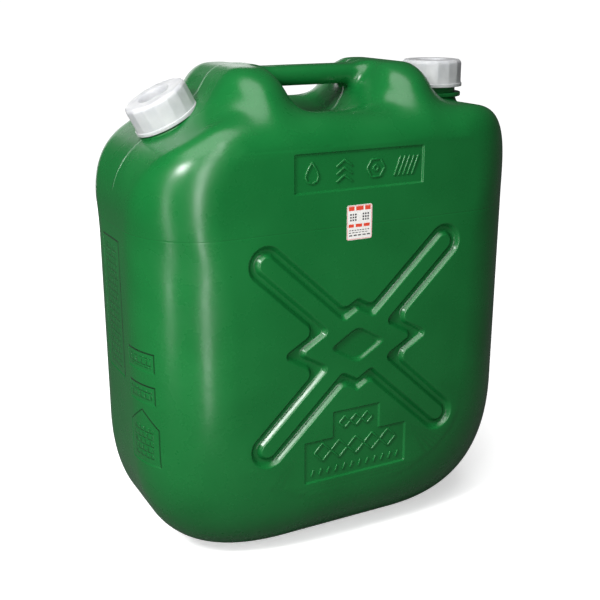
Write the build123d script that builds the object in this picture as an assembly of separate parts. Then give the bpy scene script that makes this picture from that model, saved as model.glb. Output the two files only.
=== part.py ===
from build123d import *

import os
from math import cos, radians, sin, tan

# A 20-litre fuel can: a hollow tank with a handle bar and two threaded necks moulded on, two screw caps
# with their gaskets, and a label. +X runs along the wide side, -Y is the front with the moulded cross, +Z
# is up, and the base stands on z = 0. All lengths are in millimetres.

# ---- the tank ----
width = 347.0
depth = 186.0
wall = 2.2
base_corner_radius = 92.0
side_edge_radius = 67.0
top_edge_radius = 35.0

# ---- its top: level on the right, slanted on the left ----
shoulder_height = 375.0
shoulder_corner_radius = 41.0
slant_angle = 28.0
slant_corner_radius = 61.0
slant_knee_radius = 60.0
slant_run = 67.5

# ---- two humps, the handle bar between them and the valley for the fingers ----
hump_height = 35.0
hump_root = 35.0
hump_spacing = 134.6
hump_cap_clearance = 1.0
hump_foot_margin_y = 11.0
hump_crest_x = 6.0
hump_crest_y = 26.0
hump_flank_power = 1.25
hump_flank_root = 0.72
hump_end_power = 3.5
hump_end_root = 0.5
hump_levels = 8
valley_half_length = 31.5
valley_flank_angle = 60.0
bar_height = 16.0
bar_depth = 30.0
bar_drop = 3.0
scoop_radius = 130.0
scoop_depth = 8.5

# ---- necks and their screw threads, each in its own frame with z = 0 on the shoulder ----
neck_radius = 21.2
neck_wall = 2.8
neck_root = 14.0
collar_overhang = 5.0
collar_height = 3.6
thread_pitch = 4.0
thread_height = 1.8
thread_turns = 2.2
thread_root_width = 2.1
thread_crest_width = 0.8
thread_embed = 0.4
thread_start = 5.0
thread_clearance = 0.45
main_neck_from_side = 51.1
main_cap_standoff = 2.9
main_collar_top = 1.6
air_neck_from_side = 45.8
air_cap_standoff = 9.8
air_collar_top = 4.7

# ---- caps and gaskets ----
cap_height = 23.0
cap_skirt_wall = 2.95
cap_facets = 16
cap_rim_overhang = 0.7
cap_rim_height = 2.6
cap_top_wall = 2.0
cap_edge_chamfer = 2.4
cap_recess_margin = 5.5
cap_recess_depth = 6.5
gasket_thickness = 2.0
gasket_clearance = 0.4

# ---- moulded relief on the front ----
cross_tip_x = 82.1
cross_tip_rise = 77.3
cross_centre_z = 188.3
cross_arm_radius = 16.0
cross_diamond_x = 71.1
cross_diamond_z = 41.0
cross_tip_round = 5.0
cross_corner_round = 6.0
groove_wall_inset = 1.8
groove_width = 6.6
groove_depth = 3.4
heart_x = 24.9
heart_z = 14.9
heart_round = 3.0
heart_depth = 2.2
notice_half_width = 58.8
notice_low_z = 317.7
notice_high_z = 349.4
notice_depth = 1.6
plate_half_width = 49.6
plate_low_z = 71.9
plate_step_z = 109.9
plate_top_half_width = 22.9
plate_high_z = 132.8
plate_depth = 1.4

# ---- stick-on label ----
label_width = 23.0
label_height = 28.0
label_x = -1.0
label_z = 291.5
label_thickness = 0.2
label_corner_radius = 1.6

half_width = width / 2
half_depth = depth / 2
reach = 2 * width
crest_z = shoulder_height + hump_height
hump_rise = hump_root + hump_height
slant_end_x = slant_run - half_width
main_neck_x = main_neck_from_side - half_width
air_neck_x = half_width - air_neck_from_side
hump_foot_y = half_depth - hump_foot_margin_y
left_hump_x = -hump_spacing / 2
right_hump_x = hump_spacing / 2
lip_height = cap_height - cap_top_wall - gasket_thickness
bore_radius = neck_radius - neck_wall
collar_radius = neck_radius + collar_overhang
skirt_bore_radius = neck_radius + thread_height + thread_clearance
cap_radius = skirt_bore_radius + cap_skirt_wall
cap_rim_radius = cap_radius + cap_rim_overhang
cap_recess_radius = bore_radius - cap_recess_margin


def slant_z(x):
    """Height of the slanted shoulder's plane at x."""
    return shoulder_height + (x - slant_end_x) * tan(radians(slant_angle))


def front_face(corners, radii, inset):
    """A face in the front view with rounded corners, drawn in by the inset."""
    face = Plane.XZ * make_face(FilletPolyline(*corners, radius=radii, close=True))
    return offset(face, amount=-inset) if inset else face


def rounded_plate(face, edge_radius, inset):
    """The face made into a plate of the can's depth, with its front and back edges rounded."""
    plate = extrude(face, half_depth - inset, both=True)
    ends = plate.faces().filter_by(Axis.Y)
    return fillet(ends.edges(), edge_radius - inset)


def sides(inset):
    """The can's base and four sides, open-ended upward, their walls moved in by the inset."""
    high = 2 * shoulder_height
    face = front_face(
        [(-half_width, 0), (half_width, 0), (half_width, high), (-half_width, high)],
        [base_corner_radius] * 4,
        inset,
    )
    return rounded_plate(face, side_edge_radius, inset)


def top(inset):
    """The can's shoulders, running down past the base, their walls moved in by the inset."""
    face = front_face(
        [
            (-half_width, -shoulder_height),
            (half_width, -shoulder_height),
            (half_width, shoulder_height),
            (slant_end_x, shoulder_height),
            (-half_width, slant_z(-half_width)),
        ],
        [
            shoulder_corner_radius,
            shoulder_corner_radius,
            shoulder_corner_radius,
            slant_knee_radius,
            slant_corner_radius,
        ],
        inset,
    )
    return rounded_plate(face, top_edge_radius, inset)


def hump_spread(climb):
    """The share of its length a hump keeps at a share of its rise: 1 at the foot, 0 at the crest."""
    return (1 - climb**hump_flank_power) ** hump_flank_root


def hump_foot():
    """Half the length of a hump's foot, which keeps its flank clear of the main cap's rim."""
    tilt = radians(slant_angle)
    rim_x = main_neck_x + cap_rim_radius * cos(tilt) - main_cap_standoff * sin(tilt)
    rim_z = slant_z(main_neck_x) + cap_rim_radius * sin(tilt) + main_cap_standoff * cos(tilt)
    climb = (rim_z - shoulder_height + hump_root) / hump_rise
    room = left_hump_x - rim_x - hump_cap_clearance
    return hump_crest_x + (room - hump_crest_x) / hump_spread(climb)


def hump(centre_x, inset):
    """One domed hump: ellipses that shrink from its foot, inside the tank, up to its crest."""
    foot_z = shoulder_height - hump_root
    foot_x = hump_foot()
    sections = []
    for level in range(hump_levels + 1):
        climb = sin(radians(90) * level / hump_levels)
        along = (1 - climb**hump_end_power) ** hump_end_root
        half_x = hump_crest_x + (foot_x - hump_crest_x) * hump_spread(climb) - inset
        half_y = hump_crest_y + (hump_foot_y - hump_crest_y) * along - inset
        height = foot_z + hump_rise * climb - inset * climb
        sections.append(Pos(centre_x, 0, height) * Ellipse(half_x, half_y))
    return loft(sections)


def valley_scoop(outset):
    """The dished floor of the valley under the handle bar, its surface moved out by the outset."""
    low_z = shoulder_height - 2 * scoop_depth
    low_half_length = valley_half_length - 2 * scoop_depth / tan(radians(valley_flank_angle))
    outline = Polyline(
        (-valley_half_length, shoulder_height),
        (valley_half_length, shoulder_height),
        (low_half_length, low_z),
        (-low_half_length, low_z),
        close=True,
    )
    face = Plane.XZ * make_face(outline)
    if outset:
        face = offset(face, amount=outset)
    axis_z = shoulder_height - scoop_depth + scoop_radius
    dish = Pos(0, 0, axis_z) * Rot(0, 90, 0) * Cylinder(scoop_radius + outset, reach)
    return extrude(face, half_depth, both=True) & dish


def handle_bar(inset):
    """The handle bar, its ends inside the humps."""
    section = Plane.YZ * SlotOverall(bar_depth - 2 * inset, bar_height - 2 * inset)
    axis_z = crest_z - bar_drop - bar_height / 2
    return Pos(left_hump_x, 0, axis_z) * extrude(section, hump_spacing)


def thread_ridge(radius, outward, start_z):
    """A helical ridge that stands on a round wall, outward or inward."""
    base = -thread_embed * outward
    crest = thread_height * outward
    section = Polyline(
        (radius + base, -thread_root_width / 2),
        (radius + crest, -thread_crest_width / 2),
        (radius + crest, thread_crest_width / 2),
        (radius + base, thread_root_width / 2),
        close=True,
    )
    path = Helix(pitch=thread_pitch, height=thread_pitch * thread_turns, radius=radius)
    ridge = sweep(Plane.XZ * make_face(section), path=path, is_frenet=True)
    return Pos(0, 0, start_z) * ridge


def up_from(z, radius, height):
    """A cylinder that stands on z."""
    return Pos(0, 0, z) * Cylinder(radius, height, align=(Align.CENTER, Align.CENTER, Align.MIN))


def neck(cap_standoff, collar_top):
    """A threaded neck with its collar, solid, with its root inside the tank."""
    barrel = up_from(-neck_root, neck_radius, neck_root + cap_standoff + lip_height)
    collar = up_from(collar_top - collar_height, collar_radius, collar_height)
    ridge = thread_ridge(neck_radius, 1, cap_standoff + thread_start)
    return barrel + collar + ridge


def neck_bore(cap_standoff):
    """The passage through a neck into the tank."""
    return up_from(-2 * neck_root, bore_radius, 2 * neck_root + cap_standoff + lip_height)


def screw_cap():
    """A screw cap, with z = 0 at the foot of its skirt."""
    skirt = extrude(RegularPolygon(cap_radius, cap_facets), cap_height)
    skirt = skirt & up_from(0, cap_radius, cap_height)
    top_edges = skirt.faces().sort_by(Axis.Z)[-1].edges()
    skirt = chamfer(top_edges, cap_edge_chamfer)
    rim = up_from(0, cap_rim_radius, cap_rim_height)
    inside = up_from(0, skirt_bore_radius, cap_height - cap_top_wall)
    plug_z = cap_height - cap_recess_depth - cap_top_wall
    plug = up_from(plug_z, cap_recess_radius + cap_top_wall, cap_recess_depth + cap_top_wall)
    recess = up_from(cap_height - cap_recess_depth, cap_recess_radius, cap_recess_depth)
    ridge = thread_ridge(skirt_bore_radius, -1, thread_start - thread_pitch / 2)
    return skirt + rim - inside + plug - recess + ridge


def gasket():
    """A flat ring between a neck's lip and its cap, in the cap's frame."""
    ring = up_from(lip_height, neck_radius - gasket_clearance, gasket_thickness)
    hole = up_from(lip_height, cap_recess_radius + cap_top_wall + gasket_clearance, gasket_thickness)
    return ring - hole


def cross_outline(inset):
    """The moulded cross: four round-ended arms and a diamond, drawn in by the inset."""
    arm_length = (cross_tip_x**2 + cross_tip_rise**2) ** 0.5
    slope = Vector(1, 0, 0).get_angle(Vector(cross_tip_x, cross_tip_rise, 0))
    bar = SlotCenterToCenter(2 * arm_length, 2 * cross_arm_radius)
    arms = Rot(0, 0, slope) * bar + Rot(0, 0, -slope) * bar
    diamond = make_face(
        FilletPolyline(
            (cross_diamond_x, 0),
            (0, cross_diamond_z),
            (-cross_diamond_x, 0),
            (0, -cross_diamond_z),
            radius=cross_tip_round,
            close=True,
        )
    )
    cross = arms + diamond
    inner = cross.vertices().filter_by(lambda v: v.X**2 + v.Y**2 < (arm_length / 2) ** 2)
    corners = inner.filter_by(lambda v: abs(v.X) > cross_tip_round and abs(v.Y) > cross_tip_round)
    cross = fillet(corners, cross_corner_round)
    face = offset(cross, amount=-inset) if inset else cross
    return Plane.XZ * Pos(0, cross_centre_z) * face


def front_cut(face, cut_depth):
    """A pocket of the face's outline, cut into the front to a depth."""
    return Pos(0, -half_depth, 0) * extrude(face, -cut_depth)


def front_reliefs(outset):
    """Every pocket moulded into the front, moved out and in by the outset."""
    island_inset = groove_wall_inset + groove_width
    groove = cross_outline(groove_wall_inset - outset) - cross_outline(island_inset + outset)
    heart = make_face(
        FilletPolyline(
            (heart_x, 0),
            (0, heart_z),
            (-heart_x, 0),
            (0, -heart_z),
            radius=heart_round,
            close=True,
        )
    )
    heart = Plane.XZ * Pos(0, cross_centre_z) * heart
    notice = Plane.XZ * make_face(
        Polyline(
            (-notice_half_width, notice_low_z),
            (notice_half_width, notice_low_z),
            (notice_half_width, notice_high_z),
            (-notice_half_width, notice_high_z),
            close=True,
        )
    )
    plate = Plane.XZ * make_face(
        Polyline(
            (-plate_half_width, plate_low_z),
            (plate_half_width, plate_low_z),
            (plate_half_width, plate_step_z),
            (plate_top_half_width, plate_step_z),
            (plate_top_half_width, plate_high_z),
            (-plate_top_half_width, plate_high_z),
            (-plate_top_half_width, plate_step_z),
            (-plate_half_width, plate_step_z),
            close=True,
        )
    )
    pockets = front_cut(groove, groove_depth + outset)
    for face, cut_depth in ((heart, heart_depth), (notice, notice_depth), (plate, plate_depth)):
        outline = offset(face, amount=outset) if outset else face
        pockets += front_cut(outline, cut_depth + outset)
    return pockets


def tank_form(inset):
    """The tank with its humps, its walls moved in by the inset."""
    form = top(inset)
    form += hump(left_hump_x, inset)
    form += hump(right_hump_x, inset)
    form = form & sides(inset)
    return form - valley_scoop(inset)


def label():
    """The stick-on label, flat on the front."""
    face = Plane.XZ * RectangleRounded(label_width, label_height, label_corner_radius)
    return Pos(label_x, -half_depth, label_z) * extrude(face, label_thickness)


main_seat = Plane(
    origin=(main_neck_x, 0, slant_z(main_neck_x)),
    x_dir=(1, 0, tan(radians(slant_angle))),
    z_dir=(-sin(radians(slant_angle)), 0, sin(radians(90 - slant_angle))),
).location
air_seat = Pos(air_neck_x, 0, shoulder_height)
main_cap_place = main_seat * Pos(0, 0, main_cap_standoff)
air_cap_place = air_seat * Pos(0, 0, air_cap_standoff)

outside = tank_form(0)
bar_hollow = handle_bar(wall)
main_bore = main_seat * neck_bore(main_cap_standoff)
air_bore = air_seat * neck_bore(air_cap_standoff)

tank = outside - front_reliefs(0)
tank -= tank_form(wall) - front_reliefs(wall)
tank -= bar_hollow
tank -= main_bore
tank -= air_bore

pieces = {
    "can_body": tank,
    "handle_bar": handle_bar(0) - outside - bar_hollow,
    "main_neck": main_seat * neck(main_cap_standoff, main_collar_top) - outside - main_bore,
    "air_neck": air_seat * neck(air_cap_standoff, air_collar_top) - outside - air_bore,
    "main_cap": main_cap_place * screw_cap(),
    "main_cap_gasket": main_cap_place * gasket(),
    "air_cap": air_cap_place * screw_cap(),
    "air_cap_gasket": air_cap_place * gasket(),
    "inspection_label": label(),
}

os.makedirs("parts", exist_ok=True)
for node, piece in pieces.items():
    export_step(piece, f"parts/{node}.step")
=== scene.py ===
"""Looks of a moulded 20-litre fuel can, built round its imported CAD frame.

Lengths are worked in millimetres while a piece is modelled and turned into metres when it is finished.
+X runs along the wide side, -Y is the front with the moulded cross, +Z is up.
"""

import logging
import math
from dataclasses import dataclass, field
from enum import Enum
from typing import Sequence

import bmesh
import bpy
import numpy as np
from mathutils import Matrix, Vector


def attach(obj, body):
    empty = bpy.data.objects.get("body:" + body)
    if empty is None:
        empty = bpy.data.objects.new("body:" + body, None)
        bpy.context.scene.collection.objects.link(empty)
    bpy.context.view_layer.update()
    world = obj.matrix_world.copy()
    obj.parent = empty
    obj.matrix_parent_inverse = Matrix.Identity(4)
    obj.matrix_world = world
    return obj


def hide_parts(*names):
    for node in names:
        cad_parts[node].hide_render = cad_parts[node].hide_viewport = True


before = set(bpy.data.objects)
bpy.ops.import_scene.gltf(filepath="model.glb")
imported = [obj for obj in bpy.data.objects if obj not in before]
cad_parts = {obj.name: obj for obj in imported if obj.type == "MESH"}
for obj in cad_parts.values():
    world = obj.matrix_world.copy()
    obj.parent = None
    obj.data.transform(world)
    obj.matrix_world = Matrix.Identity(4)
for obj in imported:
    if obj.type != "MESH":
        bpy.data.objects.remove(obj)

log = logging.getLogger("fuel_can")

METRES = 0.001
MERGE = 0.01

Point = tuple[float, float]
Loop = list[Point]
Bars = list[tuple[Point, Point]]
Colour = tuple[float, float, float, float]


class Body(Enum):
    """The CAD bodies the pieces ride on."""

    CAN = "can"
    MAIN_CAP = "main_cap"
    AIR_CAP = "air_cap"


class Slot(Enum):
    """The record's material slots the pieces use."""

    CAN = "can_plastic"
    CAP = "cap_plastic"


# ---------------------------------------------------------------- mesh tools


def smooth_max(a: np.ndarray, b: np.ndarray, width: float) -> np.ndarray:
    """Blend two fields into their rounded intersection.

    Args:
        a: First field.
        b: Second field.
        width: Band of difference over which the two are blended.

    Returns:
        The blended field.
    """
    near = np.maximum(width - np.abs(a - b), 0.0) / width
    return np.maximum(a, b) + near * near * width / 4


def smooth_min(a: np.ndarray, b: np.ndarray, width: float) -> np.ndarray:
    """Blend two fields into their filleted union.

    Args:
        a: First field.
        b: Second field.
        width: Band of difference over which the two are blended.

    Returns:
        The blended field.
    """
    return -smooth_max(-a, -b, width)


def rounded_both(a: np.ndarray, b: np.ndarray, radius: np.ndarray | float) -> np.ndarray:
    """Intersect two fields with a round edge of a given radius.

    Args:
        a: First field, a distance in millimetres.
        b: Second field, a distance in millimetres.
        radius: Radius of the edge where the two meet.

    Returns:
        The field of the intersection.
    """
    outer = np.hypot(np.maximum(a + radius, 0), np.maximum(b + radius, 0))
    return np.minimum(np.maximum(a + radius, b + radius), 0) + outer - radius


def blend_band(radius: float, turn: float) -> float:
    """Give the blending band that rounds a corner about as much as a radius would.

    Args:
        radius: Radius of the corner.
        turn: Angle between the two faces' normals, in degrees.

    Returns:
        The band for smooth_max.
    """
    return 4 * radius * (1 - math.cos(math.radians(turn) / 2))


def ease(t: np.ndarray | float) -> np.ndarray | float:
    """Ease a value from 0 to 1 with level ends.

    Args:
        t: The value, clipped to 0..1.

    Returns:
        The eased value.
    """
    t = np.clip(t, 0.0, 1.0)
    return t * t * (3 - 2 * t)


def firm(t: float) -> float:
    """Ramp a value from 0 to 1 with slightly rounded ends.

    Args:
        t: The value, clipped to 0..1.

    Returns:
        The ramped value.
    """
    t = min(max(t, 0.0), 1.0)
    return 0.6 * t + 0.4 * float(ease(t))


def select_only(obj: bpy.types.Object) -> None:
    """Make one object the only selected one and the active one.

    Args:
        obj: The object.
    """
    bpy.ops.object.select_all(action="DESELECT")
    obj.select_set(True)
    bpy.context.view_layer.objects.active = obj


def named(name: str) -> bpy.types.Object:
    """Name the active object and its mesh.

    Args:
        name: The new name.

    Returns:
        The active object.
    """
    obj = bpy.context.active_object
    obj.name = name
    obj.data.name = name
    return obj


def joined(parts: Sequence[bpy.types.Object], name: str) -> bpy.types.Object:
    """Join objects into one.

    Args:
        parts: The objects.
        name: Name of the joined object.

    Returns:
        The joined object.
    """
    bpy.ops.object.select_all(action="DESELECT")
    for part in parts:
        part.select_set(True)
    bpy.context.view_layer.objects.active = parts[0]
    if len(parts) > 1:
        bpy.ops.object.join()
    return named(name)


def modified(obj: bpy.types.Object, kind: str, **settings: object) -> None:
    """Add a modifier and apply it.

    Args:
        obj: The object.
        kind: The modifier's type.
        settings: The modifier's settings.
    """
    select_only(obj)
    modifier = obj.modifiers.new(kind.title(), kind)
    for key, value in settings.items():
        setattr(modifier, key, value)
    bpy.ops.object.modifier_apply(modifier=modifier.name)


def coordinates(obj: bpy.types.Object) -> np.ndarray:
    """Read a mesh's points.

    Args:
        obj: The object.

    Returns:
        One row for each vertex.
    """
    flat = np.empty(len(obj.data.vertices) * 3)
    obj.data.vertices.foreach_get("co", flat)
    return flat.reshape(-1, 3)


def move_points(obj: bpy.types.Object, points: np.ndarray) -> None:
    """Write a mesh's points.

    Args:
        obj: The object.
        points: One row for each vertex.
    """
    obj.data.vertices.foreach_set("co", points.ravel())
    obj.data.update()


def mesh_object(name: str, points: Sequence, edges: Sequence, faces: Sequence) -> bpy.types.Object:
    """Make an object from points, edges and faces.

    Args:
        name: The object's name.
        points: The vertices.
        edges: Pairs of vertex numbers.
        faces: Rings of vertex numbers.

    Returns:
        The new object.
    """
    mesh = bpy.data.meshes.new(name)
    mesh.from_pydata([tuple(p) for p in points], [tuple(e) for e in edges], [tuple(f) for f in faces])
    obj = bpy.data.objects.new(name, mesh)
    bpy.context.scene.collection.objects.link(obj)
    return obj


def cleaned(obj: bpy.types.Object, merge: float = MERGE) -> bpy.types.Object:
    """Merge doubled points and turn every face outwards.

    Args:
        obj: The object.
        merge: Distance under which points are merged.

    Returns:
        The same object.
    """
    select_only(obj)
    bpy.ops.object.mode_set(mode="EDIT")
    bpy.ops.mesh.select_all(action="SELECT")
    bpy.ops.mesh.remove_doubles(threshold=merge)
    bpy.ops.mesh.normals_make_consistent(inside=False)
    bpy.ops.object.mode_set(mode="OBJECT")
    return obj


def finished(obj: bpy.types.Object, place: Matrix, sharp: float = 40.0) -> bpy.types.Object:
    """Put a piece in its place, in metres, with smooth shading.

    Args:
        obj: The piece, modelled in millimetres.
        place: Where its own frame lies, in millimetres.
        sharp: Edges that turn by more than this angle stay sharp, in degrees.

    Returns:
        The same object, at the origin, unturned and unscaled.
    """
    obj.data.transform(Matrix.Scale(METRES, 4) @ place @ obj.matrix_world)
    obj.matrix_world = Matrix.Identity(4)
    cleaned(obj, MERGE * METRES)
    bpy.ops.object.shade_smooth_by_angle(angle=math.radians(sharp))
    return obj


def lathed(name: str, outline: Loop, steps: int) -> bpy.types.Object:
    """Spin a closed outline round the Z axis.

    Args:
        name: The object's name.
        outline: Radius and height of each corner.
        steps: Steps in the full turn.

    Returns:
        The turned object.
    """
    count = len(outline)
    edges = [(i, (i + 1) % count) for i in range(count)]
    obj = mesh_object(name, [(r, 0, z) for r, z in outline], edges, [])
    select_only(obj)
    bpy.ops.object.mode_set(mode="EDIT")
    bpy.ops.mesh.select_all(action="SELECT")
    bpy.ops.mesh.spin(steps=steps, angle=math.tau, center=(0, 0, 0), axis=(0, 0, 1))
    bpy.ops.object.mode_set(mode="OBJECT")
    return cleaned(obj)


def softened(outline: Loop, radius: float, steps: int = 4) -> Loop:
    """Round every corner of a closed outline.

    Args:
        outline: The corners.
        radius: Radius, cut down where a side is too short.
        steps: Steps in each round.

    Returns:
        The rounded outline.
    """
    rounded: Loop = []
    count = len(outline)
    for i, corner in enumerate(outline):
        here = Vector(corner)
        back = Vector(outline[i - 1]) - here
        ahead = Vector(outline[(i + 1) % count]) - here
        reach = min(radius, back.length * 0.45, ahead.length * 0.45)
        start = here + back.normalized() * reach
        end = here + ahead.normalized() * reach
        for step in range(steps + 1):
            t = step / steps
            point = start * (1 - t) ** 2 + here * 2 * t * (1 - t) + end * t**2
            rounded.append((point.x, point.y))
    return rounded


def arc(centre: Point, radius: float, start: float, end: float, steps: int) -> Loop:
    """Sample an arc.

    Args:
        centre: Its centre.
        radius: Its radius.
        start: First angle, in radians.
        end: Last angle, in radians.
        steps: Steps between them.

    Returns:
        The points of the arc.
    """
    angles = [start + (end - start) * i / steps for i in range(steps + 1)]
    return [(centre[0] + radius * math.cos(a), centre[1] + radius * math.sin(a)) for a in angles]


# ---------------------------------------------------------------- the can's body


@dataclass
class Relief:
    """One relief sunk into the flat front: rings of one outline and the depth at each ring."""

    name: str
    rings: list[Loop]
    depths: list[float]

    def strips(self, front: float) -> bpy.types.Object:
        """Build the sloping walls between the rings.

        Args:
            front: The front's place along Y.

        Returns:
            The walls.
        """
        count = len(self.rings[0])
        points = [(x, front + d, z) for ring, d in zip(self.rings, self.depths) for x, z in ring]
        faces = []
        for level in range(len(self.rings) - 1):
            low = level * count
            for i in range(count):
                j = (i + 1) % count
                faces.append((low + i, low + j, low + count + j, low + count + i))
        return mesh_object(self.name, points, [], faces)


def flat_fill(name: str, loops: Sequence[Loop], place: float) -> bpy.types.Object:
    """Fill the flat area between loops that lie at one depth.

    Args:
        name: The object's name.
        loops: The outer loop and the holes in it.
        place: The area's place along Y.

    Returns:
        The filled area.
    """
    points: list[tuple[float, float, float]] = []
    edges: list[tuple[int, int]] = []
    for loop in loops:
        first = len(points)
        points += [(x, place, z) for x, z in loop]
        edges += [(first + i, first + (i + 1) % len(loop)) for i in range(len(loop))]
    obj = mesh_object(name, points, edges, [])
    select_only(obj)
    bpy.ops.object.mode_set(mode="EDIT")
    bpy.ops.mesh.select_all(action="SELECT")
    bpy.ops.mesh.fill(use_beauty=False)
    bpy.ops.object.mode_set(mode="OBJECT")
    return obj


@dataclass
class Cross:
    """The moulded cross: four round-ended arms over a diamond, with a trough along its outline."""

    tip_x: float = 82.1
    tip_rise: float = 77.3
    centre_z: float = 188.3
    arm_radius: float = 16.0
    diamond_x: float = 71.1
    diamond_z: float = 41.0
    tip_round: float = 5.0
    corner_round: float = 6.0
    island_corner: float = 6.0
    island_tip: float = 2.0
    wall: float = 3.8
    floor: float = 2.6
    depth: float = 4.2
    heart_x: float = 27.5
    heart_z: float = 16.5
    heart_round: float = 7.0
    heart_wall: float = 3.0
    heart_depth: float = 3.0

    def ring(self, inset: float) -> Loop:
        """Trace the cross, drawn in by an inset.

        Args:
            inset: Distance from the outline, inwards.

        Returns:
            The closed outline.
        """
        slope = math.atan2(self.tip_rise, self.tip_x)
        half = self.arm_radius - inset
        size = math.hypot(self.diamond_x, self.diamond_z)
        edge = Vector((self.diamond_z / size, self.diamond_x / size))
        edge_at = self.diamond_x * self.diamond_z / size - inset
        foot = self.wall + self.floor
        if inset < foot:
            round_in = self.corner_round + inset
            round_out = max(self.tip_round - inset, 1.0)
        else:
            round_in = self.island_corner - (foot + self.wall - inset)
            round_out = self.island_tip + (foot + self.wall - inset)
        lean = math.atan2(edge.y, edge.x)
        quarter = arc(((edge_at - round_out) / edge.x, 0.0), round_out, 0, lean, 4)
        sides = []
        low_side = Vector((math.sin(slope), -math.cos(slope)))
        for side in (low_side, -low_side):
            across, along = half + round_in, edge_at + round_in
            det = side.x * edge.y - side.y * edge.x
            x = (across * edge.y - side.y * along) / det
            z = (side.x * along - edge.x * across) / det
            at_edge, at_side = math.atan2(-edge.y, -edge.x), math.atan2(-side.y, -side.x)
            turn = (at_side - at_edge + math.pi) % math.tau - math.pi
            sides.append(arc((x, z), round_in, at_edge, at_edge + turn, 10))
        quarter += sides[0]
        quarter += arc((self.tip_x, self.tip_rise), half, slope - math.pi / 2, slope + math.pi / 2, 18)
        quarter += sides[1][::-1]
        quarter += arc((0.0, (edge_at - round_out) / edge.y), round_out, lean, math.pi / 2, 4)
        upper = quarter + [(-x, z) for x, z in reversed(quarter[:-1])]
        lower = [(x, -z) for x, z in reversed(upper[1:-1])]
        return [(x, z + self.centre_z) for x, z in upper + lower]

    def trough(self) -> Relief:
        """Give the trough along the cross's outline.

        Returns:
            The relief, from the outer edge to the island inside it.
        """
        steps = 7
        inner = self.wall + self.floor
        insets = [-1.2, -0.5] + [self.wall * i / steps for i in range(steps + 1)]
        insets += [inner + self.wall * i / steps for i in range(steps + 1)]
        insets += [inner + self.wall + 0.5, inner + self.wall + 1.2]
        depths = [self.depth * self.profile(d) for d in insets]
        return Relief("cross_trough", [self.ring(d) for d in insets], depths)

    def profile(self, inset: float) -> float:
        """Give the trough's depth at a distance from the outline, as a part of the whole.

        Args:
            inset: Distance from the outline, inwards.

        Returns:
            0 at the front's level, 1 at the trough's floor.
        """
        down = firm(inset / self.wall)
        up = firm((inset - self.wall - self.floor) / self.wall)
        return down - up

    def heart(self) -> Relief:
        """Give the sunk diamond in the middle.

        Returns:
            The relief, from its outer edge to its floor.
        """
        size = math.hypot(self.heart_x, self.heart_z)
        steps = 5
        insets = [-1.0, -0.4] + [self.heart_wall * i / steps for i in range(steps + 1)]
        insets += [self.heart_wall + 0.5]
        rings = []
        for inset in insets:
            scale = 1 - inset * size / (self.heart_x * self.heart_z)
            x, z = self.heart_x * scale, self.heart_z * scale
            outline = softened([(x, 0), (0, z), (-x, 0), (0, -z)], self.heart_round, 5)
            rings.append([(px, pz + self.centre_z) for px, pz in outline])
        depths = [self.heart_depth * firm(d / self.heart_wall) for d in insets]
        return Relief("cross_heart", rings, depths)


@dataclass
class Panel:
    """A sunk panel with square corners."""

    name: str
    corners: Loop
    depth: float
    wall: float = 1.3

    def relief(self) -> Relief:
        """Give the panel's wall, from the front down to its floor.

        Returns:
            The relief.
        """
        steps = 4
        insets = [-0.8, -0.3] + [self.wall * i / steps for i in range(steps + 1)] + [self.wall + 0.4]
        rings = [softened(self.shrunk(d), 1.2, 3) for d in insets]
        depths = [self.depth * firm(d / self.wall) for d in insets]
        return Relief(self.name, rings, depths)

    def shrunk(self, inset: float) -> Loop:
        """Draw the square-cornered outline in.

        Args:
            inset: Distance inwards.

        Returns:
            The smaller outline.
        """
        moved = []
        count = len(self.corners)
        for i, corner in enumerate(self.corners):
            here = Vector(corner)
            ahead = (Vector(self.corners[(i + 1) % count]) - here).normalized()
            behind = (here - Vector(self.corners[i - 1])).normalized()
            inward = Vector((-ahead.y, ahead.x)) + Vector((-behind.y, behind.x))
            point = here + inward * inset
            moved.append((point.x, point.y))
        return moved


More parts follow.
